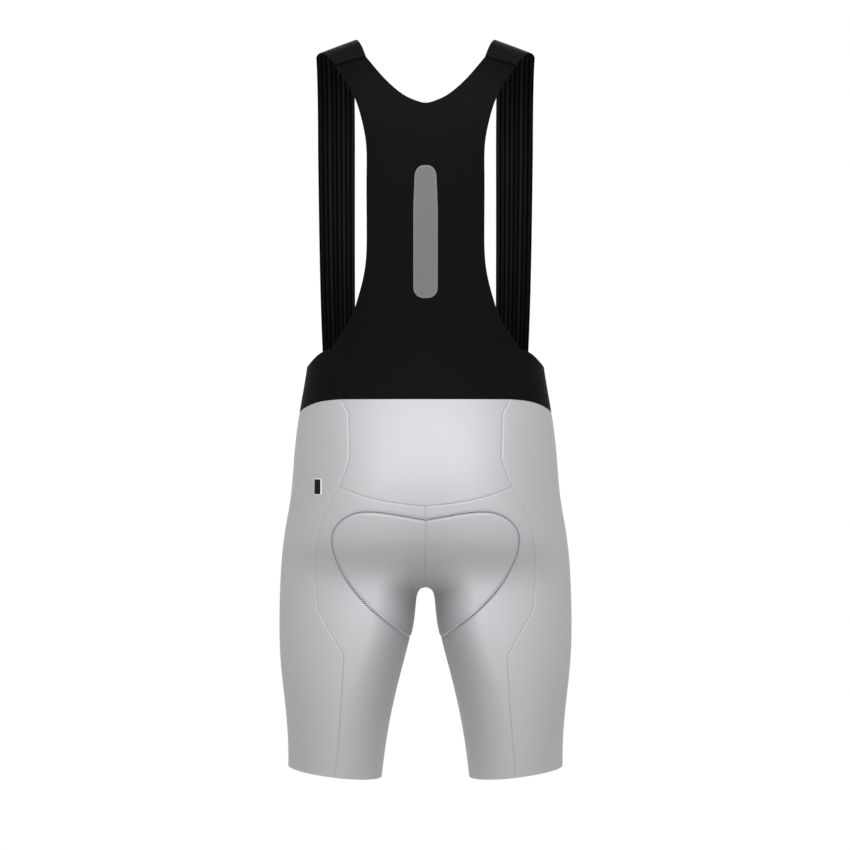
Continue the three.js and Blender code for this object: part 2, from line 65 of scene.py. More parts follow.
# The body's half section at each height, and the inner reach of its quarter ellipses
bodyForm = table("height side fullest back front middle", [
    (0, 165, 108, 63, -69, -7),
    (45, 165.2, 106, 74, -77, -7),
    (95, 169.2, 98, 84.5, -86, -6),
    (142, 174, 84, 91, -93, -5),
    (190, 175.4, 70, 90, -98, -4),
    (228.6, 174.6, 64, 85, -100, -4),
    (245, 173.9, 62, 86, -100.5, -4),
    (262, 172.8, 60, 93, -101, -4),
    (280, 171, 56, 105, -101.5, -4),
    (300, 168.2, 52, 113.5, -102, -4),
    (334, 162.4, 42, 118, -103, -4),
    (394, 157, 20, 106.5, -105, -3),
    (455, 148.6, 0, 89, -106, -2),
    (520, 140, 0, 84, -106, -1),
    (600, 149, 0, 91, -109, 0),
    (690, 163, 0, 103, -112, 0),
    (760, 170, 0, 108, -112, 0),
])
innerReach = table("height back front", [
    (0, 58, 58), (45, 52.8, 52.8), (94, 44.8, 44.8), (142, 35.3, 35.3), (166, 31, 31),
    (190, 28.1, 28.1), (214, 26.9, 26.9), (224, 26, 26), (230.6, 24, 24), (242, 14, 11),
    (252, 2, -4), (264, -20, -32), (280, -58, -75), (300, -105, -125), (350, -205, -220),
    (400, -260, -260), (760, -300, -300),
])
backSeam = table("height x", [
    (0, 107.5), (80, 100), (154.8, 96), (206, 126.5), (235, 129.4), (291, 126.4), (318, 119),
    (353, 101.4), (385, 89), (439, 91), (455, 100.5), (471, 99.6), (494, 103.5), (515, 112),
])
yokeEdge = table("share height", [(0, 330), (0.5, 337.5), (1, 353)])
bandEdge = table("share height", [(0, 455), (0.1, 452.5), (0.3, 439), (0.6, 430), (1, 428)])
waistEdge = table("share height", [
    (0, 515), (0.09, 509), (0.2, 497), (0.29, 492), (0.66, 492), (0.8, 485), (1, 482),
])
strapEdges = table("height inner outer", [
    (492, 86.5, 124.5), (600, 87.2, 128.6), (760, 87.3, 131.8),
])
strapSeam = {"inner": 70.3, "outer": 107}
bibEdge = [
    (515, 112), (535, 98), (550, 88.5), (571, 80.5), (606, 71.6), (650, 69), (720, 69),
    (757, 70), (781, 74.7), (805, 82), (828, 93.5),
]
neckScoop = [
    (-10.5, 802.6), (0, 800.2), (10.5, 802.6), (24.5, 809.3), (39.7, 821.7), (51.5, 834.3), (61.8, 847.4),
]


def naturalSpline(x, y):
    # A natural cubic: bends from the three-term equations, then each stretch from its two ends.
    step = np.diff(x)
    system = np.eye(len(x))
    right = np.zeros(len(x))
    for i in range(1, len(x) - 1):
        system[i, i - 1:i + 2] = step[i - 1], 2 * (step[i - 1] + step[i]), step[i]
        right[i] = 6 * ((y[i + 1] - y[i]) / step[i] - (y[i] - y[i - 1]) / step[i - 1])
    bend = np.linalg.solve(system, right)

    def at(q):
        q = np.clip(q, x[0], x[-1])
        i = np.clip(np.searchsorted(x, q) - 1, 0, len(x) - 2)
        a = (x[i + 1] - q) / step[i]
        b = 1 - a
        curved = ((a ** 3 - a) * bend[i] + (b ** 3 - b) * bend[i + 1]) * step[i] ** 2 / 6
        return a * y[i] + b * y[i + 1] + curved
    return at


def smoothCurve(x, y, corners=()):
    # Natural cubics from corner to corner; corners are places where the curve may turn sharply.
    marks = sorted({0, len(x) - 1, *[int(np.argmin(abs(x - c))) for c in corners]})
    runs = [naturalSpline(x[a:b + 1], y[a:b + 1]) for a, b in zip(marks, marks[1:])]
    breaks = x[marks[1:-1]]

    def at(q):
        q = np.asarray(q, float)
        which = np.searchsorted(breaks, q)
        return np.select([which == k for k in range(len(runs))], [run(q) for run in runs])
    return at


sideAt, fullestAt, backAt, frontAt, middleAt = [
    smoothCurve(bodyForm["height"], bodyForm[name]) for name in ("side", "fullest", "back", "front", "middle")
]
innerBackAt = smoothCurve(innerReach["height"], innerReach["back"])
innerFrontAt = smoothCurve(innerReach["height"], innerReach["front"])
backSeamAt = smoothCurve(backSeam["height"], backSeam["x"], (154.8, 206, 385, 439, 455))
yokeEdgeAt = smoothCurve(yokeEdge["share"], yokeEdge["height"])
bandEdgeAt = smoothCurve(bandEdge["share"], bandEdge["height"])
waistEdgeAt = smoothCurve(waistEdge["share"], waistEdge["height"], (0.29, 0.66))
strapInnerAt = smoothCurve(strapEdges["height"], strapEdges["inner"])
strapOuterAt = smoothCurve(strapEdges["height"], strapEdges["outer"])


def sectionAt(height):
    # Half section: ellipse quarters about (fullest, middle), drawn in reach = hypot(x, crotchRound).
    fullest = np.maximum(fullestAt(height), 0)
    middle = middleAt(height)
    outer = np.hypot(sideAt(height), cut["crotchRound"]) - fullest
    closed = height < cut["crotch"]
    legs = fullest - np.maximum(innerBackAt(height), cut["crotchRound"])
    least = np.maximum(fullest - cut["crotchRound"], 1)
    lift = 1 / np.sqrt(1 - (np.maximum(cut["crotchRound"] - fullest, 0) / outer) ** 2)
    return {
        "fullest": fullest, "middle": middle, "outer": outer, "closed": closed,
        "innerBack": np.where(closed, legs, np.maximum(fullest - innerBackAt(height), least)),
        "innerFront": np.where(closed, legs, np.maximum(fullest - innerFrontAt(height), least)),
        "back": (backAt(height) - middle) * lift,
        "front": (middle - frontAt(height)) * lift,
    }


def endAngle(section, inner):
    # Where the half section meets the middle line, as an angle from the outer side.
    past = section["fullest"] - cut["crotchRound"]
    short = np.pi / 2 - np.arcsin(np.clip(-past / section["outer"], 0, 1))
    over = np.pi / 2 + np.arcsin(np.clip(past / inner, 0, 1))
    return np.where(section["closed"], np.pi, np.where(past < 0, short, over))


def sectionPoint(section, angle):
    # reach = fullest + radius * cos(angle), x = sqrt(reach^2 - crotchRound^2), and
    # y = middle + depth * sin(angle), with its own radius and depth in each quarter.
    atBack = angle > 0
    inner = np.where(atBack, section["innerBack"], section["innerFront"])
    across = np.cos(angle)
    reach = section["fullest"] + np.where(across > 0, section["outer"], inner) * across
    x = np.sqrt(np.maximum(reach ** 2 - cut["crotchRound"] ** 2, 0))
    y = section["middle"] + np.where(atBack, section["back"], section["front"]) * np.sin(angle)
    return x, y


def angleAtX(section, x, atBack):
    # sectionPoint turned round: the arc cosine of the reach past the fullest place.
    across = np.hypot(x, cut["crotchRound"]) - section["fullest"]
    inner = section["innerBack"] if atBack else section["innerFront"]
    past = np.pi / 2 + np.arcsin(np.clip(-across / inner, 0, 1))
    angle = np.where(across > 0, np.arccos(np.clip(across / section["outer"], -1, 1)), past)
    return angle if atBack else -angle


def angleAlong(section, start, end, share):
    # The angle at a share of the girth between two angles, from a summed table of chords.
    t = np.linspace(0, 1, 61)
    angles = start[..., None] + (end - start)[..., None] * t
    wide = {name: value[..., None] for name, value in section.items()}
    x, y = sectionPoint(wide, angles)
    chords = np.hypot(np.diff(x, axis=-1), np.diff(y, axis=-1))
    lengths = np.concatenate([np.zeros_like(chords[..., :1]), np.cumsum(chords, -1)], -1)
    wanted = share * lengths[..., -1]
    i = np.clip((lengths[..., 1:] < wanted[..., None]).sum(-1), 0, 59)[..., None]
    low = np.take_along_axis(lengths, i, -1)[..., 0]
    high = np.take_along_axis(lengths, i + 1, -1)[..., 0]
    part = (wanted - low) / np.maximum(high - low, 1e-9)
    a = np.take_along_axis(angles, i, -1)[..., 0]
    return a + (np.take_along_axis(angles, i + 1, -1)[..., 0] - a) * part


def outside(x, y, height):
    # 1 on the body: the distance from the section's centre, in radii across and in depth.
    section = sectionAt(height)
    reach = np.hypot(x, cut["crotchRound"])
    atBack = y > section["middle"]
    inner = np.where(atBack, section["innerBack"], section["innerFront"])
    across = (reach - section["fullest"]) / np.where(reach > section["fullest"], section["outer"], inner)
    along = (y - section["middle"]) / np.where(atBack, section["back"], section["front"])
    return np.hypot(across, along)


def unit(v):
    # The vector divided by its length
    return v / np.maximum(np.linalg.norm(v, axis=-1, keepdims=True), 1e-12)


def bodyPoint(angle, height):
    # Position and outward direction: the slope of outside() in x, y and height.
    x, y = sectionPoint(sectionAt(height), angle)
    slope = np.stack([
        np.where(x < 1e-6, 0, outside(x + probe, y, height) - outside(x - probe, y, height)),
        outside(x, y + probe, height) - outside(x, y - probe, height),
        outside(x, y, height + probe) - outside(x, y, height - probe),
    ], -1)
    return np.stack([x, y, height + 0 * x], -1), unit(slope)


def zonePoint(section, height, start, turn, end, turnShare, share):
    # A share of the girth from start to turn, and then of the girth from turn to end.
    before = share <= turnShare
    a = np.where(before, start, turn)
    b = np.where(before, turn, end)
    part = np.where(before, share / turnShare, (share - turnShare) / (1 - turnShare))
    return bodyPoint(angleAlong(section, a, b, part), height)


def backZone(share, height):
    # share 0 is the centre back or inner leg, 1 the long back seam
    section = sectionAt(height)
    start = endAngle(section, section["innerBack"])
    seamX = backSeamAt(height)
    turn = angleAtX(section, (sectionPoint(section, start)[0] + seamX) / 2, True)
    return zonePoint(section, height, start, turn, angleAtX(section, seamX, True), cut["backTurn"], share)


def frontZone(share, height):
    # share 0 is the long back seam, 1 the centre front or inner leg
    section = sectionAt(height)
    turn = angleAtX(section, np.maximum(section["fullest"], cut["frontReach"]), False)
    end = -endAngle(section, section["innerFront"])
    seam = angleAtX(section, backSeamAt(height), True)
    return zonePoint(section, height, seam, turn, end, cut["frontTurn"], share)


def domeRiseAt(x):
    # The shoulders slope down nearly straight: rise = domeRise - domeFall * hypot(x, domeRound)
    return cut["domeRise"] - cut["domeFall"] * np.hypot(x, cut["domeRound"])


def backY(x, height):
    # Ring sections up to the chest, and a dome with elliptic profiles above it.
    low = np.minimum(height, cut["chest"])
    spread = np.sqrt(1 - (x / sideAt(low)) ** 2)
    up = np.clip((height - cut["chest"]) / domeRiseAt(x), 0, 1)
    return middleAt(low) + (backAt(low) - middleAt(low)) * spread * np.sqrt(1 - up ** 2)


def bibPoint(x, height):
    # Outward is (-slope across, 1, -slope up) of backY.
    slopeX = (backY(x + probe, height) - backY(x - probe, height)) / (2 * probe)
    slopeZ = (backY(x, height + probe) - backY(x, height - probe)) / (2 * probe)
    normal = unit(np.stack([-slopeX, np.ones_like(x), -slopeZ], -1))
    return np.stack([x, backY(x, height), height], -1), normal


def strapSurface(x, route):
    # route is a height up the front, then chest plus the degrees turned over the shoulder, on
    # y = middle - depth * cos(turn) and height + rise * sin(turn).
    height = np.minimum(route, cut["chest"])
    turn = np.radians(np.maximum(route - cut["chest"], 0))
    spread = np.sqrt(1 - (x / sideAt(height)) ** 2)
    depth = np.where(turn > np.pi / 2, backAt(height), -frontAt(height))
    y = middleAt(height) - depth * spread * np.cos(turn)
    return np.stack([x, y, height + domeRiseAt(x) * np.sin(turn)], -1)


def strapPoint(share, route):
    # Between the strap's two edges, which lean to the neck by turned ^ strapBend.
    turned = (route - cut["chest"] - cut["strapLean"]) / (180 - cut["shoulderSeam"] - cut["strapLean"])
    lean = np.maximum(turned, 0) ** cut["strapBend"]
    inner = strapInnerAt(route) + (strapSeam["inner"] - strapInnerAt(route)) * lean
    outer = strapOuterAt(route) + (strapSeam["outer"] - strapOuterAt(route)) * lean
    x = inner + (outer - inner) * share
    across = strapSurface(x + probe, route) - strapSurface(x - probe, route)
    along = strapSurface(x, route + probe) - strapSurface(x, route - probe)
    return strapSurface(x, route), unit(np.cross(across, along))


seamRoute = cut["chest"] + 180 - cut["shoulderSeam"]
bibEdgeEnd = (float(strapSurface(strapSeam["outer"], seamRoute)[2]), strapSeam["outer"])
neckEnd = (strapSeam["inner"], float(strapSurface(strapSeam["inner"], seamRoute)[2]))
bibEdgeAt = smoothCurve(*np.array(bibEdge + [bibEdgeEnd], float).T)
neckScoopAt = smoothCurve(*np.array(neckScoop + [neckEnd], float).T)
shoulderHeight = float(strapPoint(0.5, cut["chest"] + 90.0)[0][2]) - cut["cloth"]

# Distances of the closely set rows and columns at an edge
edgeSteps = np.array([0, 0.2, 0.5, 1.0, 1.7, 2.6, 3.8])


def spread(count, length, start=True, end=True):
    # Shares from 0 to 1 of a length: close rows near each chosen end, even ones between.
    low = edgeSteps / length if start else np.array([0.0])
    high = 1 - edgeSteps[::-1] / length if end else np.array([1.0])
    return np.concatenate([low, np.linspace(low[-1], high[0], count + 1)[1:-1], high])


def stackRows(lines, counts, share, spacings=None):
    # Heights of rows laid from each edge line to the next: low + (high - low) * spacing(t).
    rows = []
    last = len(counts) - 1
    for k, count in enumerate(counts):
        low, high = lines[k](share), lines[k + 1](share)
        t = spread(count, abs(high - low).mean(), k == 0, k == last)
        if spacings and spacings[k]:
            t = spacings[k](t)
        t = t if k == 0 else t[1:]
        rows.append(low + (high - low) * t[:, None])
    return np.concatenate(rows)


def level(height):
    # An edge line at one height
    return lambda share: np.full_like(share, height)


def gridLengths(points):
    # Distance from the first column along each row, and from the first row up each column.
    across = np.linalg.norm(np.diff(points, axis=1), axis=-1)
    up = np.linalg.norm(np.diff(points, axis=0), axis=-1)
    across = np.concatenate([np.zeros_like(across[:, :1]), np.cumsum(across, 1)], 1)
    up = np.concatenate([np.zeros_like(up[:1]), np.cumsum(up, 0)], 0)
    return across, up


seamForm = {"depth": 0.4, "width": 1.1, "round": 0.35}


def edgeDip(points, left=None, right=None, bottom=None, top=None):
    # How far the outer face sinks at its edges. A seam pulls the cloth in along a soft bell,
    # depth * exp(-(distance / width)^2), and every edge is rounded by a quarter circle.
    across, up = gridLengths(points)
    sides = [(left, across), (right, across[:, -1:] - across), (bottom, up), (top, up[-1:] - up)]
    dip = np.zeros(points.shape[:2])
    for kind, distance in sides:
        if kind is None:
            continue
        pull = seamForm["depth"] * np.exp(-(distance / seamForm["width"]) ** 2) if kind == "seam" else 0
        near = seamForm["round"] - np.minimum(distance, seamForm["round"])
        rounding = seamForm["round"] - np.sqrt(np.maximum(seamForm["round"] ** 2 - near ** 2, 0))
        dip = np.maximum(dip, pull + rounding)
    return dip


def fromHems(points):
    # Millimetres above the hems to metres round the shoulders
    return (np.asarray(points, float) - (0, 0, shoulderHeight)) * 0.001


def meshPiece(name, points, faces, material, uv=None, values=None):
    # One object at the origin: smooth faces, sharp at edges over 55 degrees, with a UV of the
    # cloth's own millimetres and point attributes where they are given.
    mesh = bpy.data.meshes.new(name)
    mesh.from_pydata(fromHems(points), [], faces)
    mesh.polygons.foreach_set("use_smooth", np.ones(len(mesh.polygons), bool))
    if uv is not None:
        corner = np.empty(len(mesh.loops), np.int32)
        mesh.loops.foreach_get("vertex_index", corner)
        layer = mesh.uv_layers.new(name="clothMillimetres")
        layer.data.foreach_set("uv", np.asarray(uv, np.float32)[corner].ravel())
    for key, value in (values or {}).items():
        mesh.attributes.new(key, "FLOAT", "POINT").data.foreach_set("value", np.asarray(value, np.float32))
    mesh.update()
    mesh.set_sharp_from_angle(angle=np.radians(55))
    piece = bpy.data.objects.new(name, mesh)
    bpy.context.scene.collection.objects.link(piece)
    mesh.materials.append(material)
    return piece


def clothShell(name, grids, material, values=None):
    # A closed wall from one or more grids (points, normals, outer rise, depth of the inner face).
    # Grid points that coincide are merged, and every edge with one face gets a rim. The grids'
    # values go to a point attribute: on both faces, or on the inner one with a plain outer value.
    points, normals, rise, depth, uv, extra, cells = [], [], [], [], [], [], []
    count = 0
    for grid in grids:
        p, n = grid["points"], grid["normals"]
        rows, columns = p.shape[:2]
        at = count + np.arange(rows * columns).reshape(rows, columns)
        quad = np.stack([at[:-1, :-1], at[:-1, 1:], at[1:, 1:], at[1:, :-1]], -1).reshape(-1, 4)
        middle = (rows // 2, columns // 2)
        corners = [p[middle], p[middle[0], middle[1] + 1], p[middle[0] + 1, middle[1]]]
        facing = np.cross(corners[1] - corners[0], corners[2] - corners[0])
        cells.append(quad if np.dot(facing, n[middle]) > 0 else quad[:, ::-1])
        across, up = gridLengths(p)
        points.append(p.reshape(-1, 3))
        normals.append(n.reshape(-1, 3))
        rise.append(np.broadcast_to(grid.get("rise", 0.0), p.shape[:2]).ravel())
        depth.append(np.broadcast_to(grid.get("depth", cut["cloth"]), p.shape[:2]).ravel())
        sideways = across - across[:, columns // 2:columns // 2 + 1] if grid.get("centred") else across
        uv.append(np.stack([sideways * grid.get("side", 1), p[..., 2]], -1).reshape(-1, 2))
        extra.append(np.broadcast_to(grid.get("value", 0.0), p.shape[:2]).ravel())
        count += rows * columns
    points, normals, uv = np.concatenate(points), np.concatenate(normals), np.concatenate(uv)
    rise, depth, extra = np.concatenate(rise), np.concatenate(depth), np.concatenate(extra)
    keys = np.round(points / 0.02).astype(np.int64)
    first, merged = np.unique(keys, axis=0, return_index=True, return_inverse=True)[1:]
    cells = merged.ravel()[np.concatenate(cells)]
    points, normals, uv = points[first], normals[first], uv[first]
    rise, depth, extra = rise[first, None], depth[first, None], extra[first]
    n = len(points)
    starts = cells.ravel()
    ends = np.roll(cells, -1, axis=1).ravel()
    lone = ~np.isin(starts.astype(np.int64) * n + ends, ends.astype(np.int64) * n + starts)
    a, b = starts[lone], ends[lone]
    faces = np.concatenate([cells, cells[:, ::-1] + n, np.stack([a, a + n, b + n, b], -1)])
    places = np.concatenate([points + normals * rise, points - normals * depth])
    outerFace = {key: extra if plain is None else np.full(n, plain) for key, plain in (values or {}).items()}
    both = {key: np.concatenate([face, extra]) for key, face in outerFace.items()}
    diagonals = points[cells[:, 2]] - points[cells[:, 0]], points[cells[:, 3]] - points[cells[:, 1]]
    area = np.linalg.norm(np.cross(*diagonals), axis=1).sum() / 2 * 1e-6
    size = np.ptp(uv, axis=0)
    print(f"{name}: {len(faces) * 2} triangles, {area:.4f} m2, {size[0]:.0f} by {size[1]:.0f} mm")
    return meshPiece(name, places, faces, material, np.tile(uv, (2, 1)), both)


flip = np.array([-1, 1, 1])


def mirrored(grid):
    # The same grid on the other side: x changes its sign
    return {**grid, "points": grid["points"] * flip, "normals": grid["normals"] * flip, "side": -1}


def linear(hexColour):
    # sRGB hex to linear light
    srgb = np.array([int(hexColour[i:i + 2], 16) for i in (1, 3, 5)]) / 255
    return (*np.where(srgb <= 0.04045, srgb / 12.92, ((srgb + 0.055) / 1.055) ** 2.4), 1.0)


def node(tree, kind, links=None, inputs=None, stops=(), **settings):
    # Adds one node: settings are its own fields, inputs are socket values, links join a socket or
    # a node's first output, and stops are the places and colours of a ramp.
    made = tree.nodes.new(kind)
    for key, value in settings.items():
        setattr(made, key, value)
    for key, value in (inputs or {}).items():
        made.inputs[key].default_value = value
    for key, source in (links or {}).items():
        socket = source.outputs[0] if isinstance(source, bpy.types.Node) else source
        tree.links.new(socket, made.inputs[key])
    for i, (place, colour) in enumerate(stops):
        made.color_ramp.elements[i].position = place
        made.color_ramp.elements[i].color = linear(colour)
    return made


def newMaterial(name):
    # A material with an empty node tree
    material = bpy.data.materials.new(name)
    material.use_nodes = True
    material.node_tree.nodes.clear()
    return material, material.node_tree


# A wave texture has one band for each waveBand / scale of its coordinates
waveBand = 0.314

# Warp-knitted polyamide and elastane, heat set: a satin face with fine upright wales
paleKnitLook = {
    "colour": "#b6b6b9", "shade": "#adadb0", "walePitch": 1.5, "coursePitch": 1.1,
    "roughness": 0.6, "satin": 0.45, "specular": 0.35, "bump": 0.05,
}
# The same kind of knit in matt black, with a softer, brushed face
blackKnitLook = {
    "colour": "#0a0a0a", "shade": "#060606", "walePitch": 1.5, "coursePitch": 1.3,
    "roughness": 0.62, "satin": 0.0, "specular": 0.05, "bump": 0.05,
}


def knitMaterial(name, look):
    # Wales and courses are two crossed sine waves on the cloth's own millimetres. Real ones are
    # 0.4 mm apart: they are drawn wider, so that they show in the render.
    material, tree = newMaterial(name)
    cloth = node(tree, "ShaderNodeUVMap", uv_map="clothMillimetres")
    wales = node(tree, "ShaderNodeTexWave", {"Vector": cloth},
                 {"Scale": waveBand / look["walePitch"], "Distortion": 0.6, "Detail": 1.0,
                  "Detail Scale": 0.08}, wave_type="BANDS", bands_direction="X")
    courses = node(tree, "ShaderNodeTexWave", {"Vector": cloth},
                   {"Scale": waveBand / look["coursePitch"], "Distortion": 0.4, "Detail": 1.0,
                    "Detail Scale": 0.1}, wave_type="BANDS", bands_direction="Y")
    yarn = node(tree, "ShaderNodeTexNoise", {"Vector": cloth}, {"Scale": 0.9, "Detail": 3.0})
    soft = node(tree, "ShaderNodeTexNoise", {"Vector": cloth}, {"Scale": 0.035, "Detail": 2.0})
    mesh = node(tree, "ShaderNodeMath", {0: wales.outputs["Fac"], 1: courses.outputs["Fac"]},
                operation="MULTIPLY")
    tint = node(tree, "ShaderNodeMath", {0: mesh, 1: yarn}, operation="ADD")
    tone = node(tree, "ShaderNodeMath", {0: tint, 1: soft}, operation="ADD")
    ramp = node(tree, "ShaderNodeValToRGB", {"Fac": tone},
                stops=[(0.55, look["shade"]), (0.875, look["colour"])])
    height = node(tree, "ShaderNodeMath", {0: wales.outputs["Fac"], 1: tint}, operation="ADD")
    bump = node(tree, "ShaderNodeBump", {"Height": height}, {"Strength": look["bump"], "Distance": 0.0006})
    cover = node(tree, "ShaderNodeBsdfPrincipled", {"Base Color": ramp, "Normal": bump},
                 {"Roughness": look["roughness"], "Metallic": look["satin"],
                  "Specular IOR Level": look["specular"]})
    node(tree, "ShaderNodeOutputMaterial", {"Surface": cover})
    return material


def elasticMaterial(name):
    # Knitted elastic tape: polyester over rubber, crossed every 1.6 mm by the weft. Its colour follows
    # ribHeight: a painted highlight on the rib tops and painted shade in the valleys between them.
    # valley is painted shade for the hollows, rib a painted highlight for the rib tops
    look = {"paintedValleyShade": "#020202", "rib": "#1d1d1e", "weft": 1.6}
    material, tree = newMaterial(name)
    cloth = node(tree, "ShaderNodeUVMap", uv_map="clothMillimetres")
    weft = node(tree, "ShaderNodeTexWave", {"Vector": cloth},
                {"Scale": waveBand / look["weft"], "Distortion": 1.0, "Detail": 2.0, "Detail Scale": 0.3},
                wave_type="BANDS", bands_direction="Y")
    yarn = node(tree, "ShaderNodeTexNoise", {"Vector": cloth}, {"Scale": 1.2, "Detail": 3.0})
    ribs = node(tree, "ShaderNodeAttribute", attribute_name="ribHeight")
    fuzz = node(tree, "ShaderNodeMath", {0: yarn}, {1: 0.35}, operation="MULTIPLY")
    tone = node(tree, "ShaderNodeMath", {0: ribs.outputs["Fac"], 1: fuzz}, operation="ADD")
    # Ramp from painted valley shade up to a painted highlight on the rib tops
    ramp = node(tree, "ShaderNodeValToRGB", {"Fac": tone}, stops=[(0.2, look["paintedValleyShade"]), (1.0, look["rib"])])
    grain = node(tree, "ShaderNodeMath", {0: weft.outputs["Fac"], 1: yarn}, operation="ADD")
    bump = node(tree, "ShaderNodeBump", {"Height": grain}, {"Strength": 0.25, "Distance": 0.0005})
    cover = node(tree, "ShaderNodeBsdfPrincipled", {"Base Color": ramp, "Normal": bump},
                 {"Roughness": 0.7, "Specular IOR Level": 0.02})
    node(tree, "ShaderNodeOutputMaterial", {"Surface": cover})
    return material


def tapeMaterial(name):
    # Heat-bonded reflective tape: a grey face of fine glass beads, sealed in a paler welded edge.
    look = {"face": "#6b6b6c", "deep": "#616162", "edge": "#7b7b7c"}
    material, tree = newMaterial(name)
    cloth = node(tree, "ShaderNodeUVMap", uv_map="clothMillimetres")
    beads = node(tree, "ShaderNodeTexVoronoi", {"Vector": cloth}, {"Scale": 0.9})
    grain = node(tree, "ShaderNodeTexNoise", {"Vector": cloth}, {"Scale": 0.25, "Detail": 4.0})
    tone = node(tree, "ShaderNodeMath", {0: beads, 1: grain}, operation="ADD")
    ramp = node(tree, "ShaderNodeValToRGB", {"Fac": tone}, stops=[(0.5, look["deep"]), (1.0, look["face"])])
    rim = node(tree, "ShaderNodeAttribute", attribute_name="rim")
    colour = node(tree, "ShaderNodeMix", {0: rim.outputs["Fac"], 6: ramp}, {7: linear(look["edge"])},
                  data_type="RGBA")
    bump = node(tree, "ShaderNodeBump", {"Height": beads}, {"Strength": 0.12, "Distance": 0.0003})
    cover = node(tree, "ShaderNodeBsdfPrincipled", {"Base Color": colour.outputs[2], "Normal": bump},
                 {"Roughness": 0.5, "Specular IOR Level": 0.25})
    node(tree, "ShaderNodeOutputMaterial", {"Surface": cover})
    return material


def patchMaterial(name):
    # Moulded silicone rubber: smooth, deep black, with a pale rim printed on it.
    look = {"face": "#0b0b0c", "rim": "#d8d9db"}
    material, tree = newMaterial(name)
    place = node(tree, "ShaderNodeTexCoord")
    grain = node(tree, "ShaderNodeTexNoise", {"Vector": place.outputs["Object"]},
                 {"Scale": 900.0, "Detail": 2.0})
    rim = node(tree, "ShaderNodeAttribute", attribute_name="rim")
    colour = node(tree, "ShaderNodeMix", {0: rim.outputs["Fac"]},
                  {6: linear(look["face"]), 7: linear(look["rim"])}, data_type="RGBA")
    bump = node(tree, "ShaderNodeBump", {"Height": grain}, {"Strength": 0.1, "Distance": 0.0002})
    cover = node(tree, "ShaderNodeBsdfPrincipled", {"Base Color": colour.outputs[2], "Normal": bump},
                 {"Roughness": 0.55, "Specular IOR Level": 0.15})
    node(tree, "ShaderNodeOutputMaterial", {"Surface": cover})
    return material


def threadMaterial(name, colour, shade, gloss, fuzz):
    # Textured polyester sewing thread: twisted, with a soft lustre where it is pale.
    material, tree = newMaterial(name)
    place = node(tree, "ShaderNodeTexCoord")
    twist = node(tree, "ShaderNodeTexNoise", {"Vector": place.outputs["Object"]},
                 {"Scale": 1400.0, "Detail": 2.0})
    ramp = node(tree, "ShaderNodeValToRGB", {"Fac": twist}, stops=[(0.0, shade), (1.0, colour)])
    bump = node(tree, "ShaderNodeBump", {"Height": twist}, {"Strength": 0.3, "Distance": 0.0002})
    cover = node(tree, "ShaderNodeBsdfPrincipled", {"Base Color": ramp, "Normal": bump},
                 {"Roughness": 0.6, "Specular IOR Level": gloss, "Sheen Weight": fuzz})
    node(tree, "ShaderNodeOutputMaterial", {"Surface": cover})
    return material


paleKnit = knitMaterial("satinWarpKnit", paleKnitLook)
blackKnit = knitMaterial("mattBlackKnit", blackKnitLook)
blackElasticPaintedRibLight = elasticMaterial("ribbedElasticPaintedRibLight")
greyTape = tapeMaterial("bondedReflectiveTape")
siliconePatch = patchMaterial("mouldedSilicone")
paleThread = threadMaterial("greyPolyesterThread", "#c2c3c6", "#a5a6a9", 0.3, 0.2)
# Dark grey thread used as painted shade in the pad's stitch groove
grooveShadeThread = threadMaterial("darkGreyThreadPaintedGrooveShade", "#4c4d50", "#353639", 0.1, 0.0)
blackThread = threadMaterial("blackPolyesterThread", "#040404", "#020202", 0.02, 0.0)
print("materials made")

# The seat pad shows only as a soft rise inside its stitched outline: points on the back of the
# body from the centre back to the inner leg, and on the front from there to the centre front.
padForm = {"rise": 1.0, "blend": 6.0, "groove": 1.1, "grooveWidth": 1.7}
padBack = table("x height", [
    (0, 314.2), (26.5, 318.8), (61, 323.5), (82.5, 321.7), (98, 313.5), (108, 300.5), (109.6, 287.5),
    (106, 270), (97.5, 251), (84.5, 231.5), (66, 211.5), (47, 195), (31.5, 182.5), (19.5, 171.5),
])
padFront = table("x height", [
    (19.5, 171.5), (30, 182), (41, 200), (48, 225), (49, 255), (45, 282), (34, 300), (18, 309), (0, 312),
])


def smoothPath(path, count):
    # A smooth line through a table's points: both columns as natural cubics of the chord length.
    x, h = path["x"], path["height"]
    along = np.concatenate([[0], np.cumsum(np.hypot(np.diff(x), np.diff(h)))])
    t = np.linspace(0, along[-1], count)
    return np.stack([naturalSpline(along, x)(t), naturalSpline(along, h)(t)], -1)


padLines = {"back": smoothPath(padBack, 160), "front": smoothPath(padFront, 120)}


def padRelief(points, line):
    # Rise inside the outline by a smooth step of the signed distance, less a groove along it.
    flat = points.reshape(-1, 3)[:, [0, 2]]
    flat = np.stack([abs(flat[:, 0]), flat[:, 1]], -1)
    a, b = line[:-1], line[1:]
    span = b - a
    t = np.clip(((flat[:, None] - a) * span).sum(-1) / (span ** 2).sum(-1), 0, 1)
    nearest = np.linalg.norm(flat[:, None] - (a + t[..., None] * span), axis=-1).min(1)
    loop = np.concatenate([line, [[-20, line[-1, 1]], [-20, line[0, 1]], line[0]]])
    a, b = loop[:-1], loop[1:]
    h = flat[:, 1:2]
    crosses = (a[:, 1] > h) != (b[:, 1] > h)
    slope = (b[:, 0] - a[:, 0]) / np.where(b[:, 1] == a[:, 1], 1, b[:, 1] - a[:, 1])
    inside = ((crosses & (flat[:, :1] < a[:, 0] + (h - a[:, 1]) * slope)).sum(1) % 2) == 1
    depth = np.where(inside, nearest, -nearest)
    t = np.clip(depth / padForm["blend"] + 0.5, 0, 1)
    relief = padForm["rise"] * t * t * (3 - 2 * t)
    relief -= padForm["groove"] * np.exp(-(nearest / padForm["grooveWidth"]) ** 2)
    return relief.reshape(points.shape[:2])


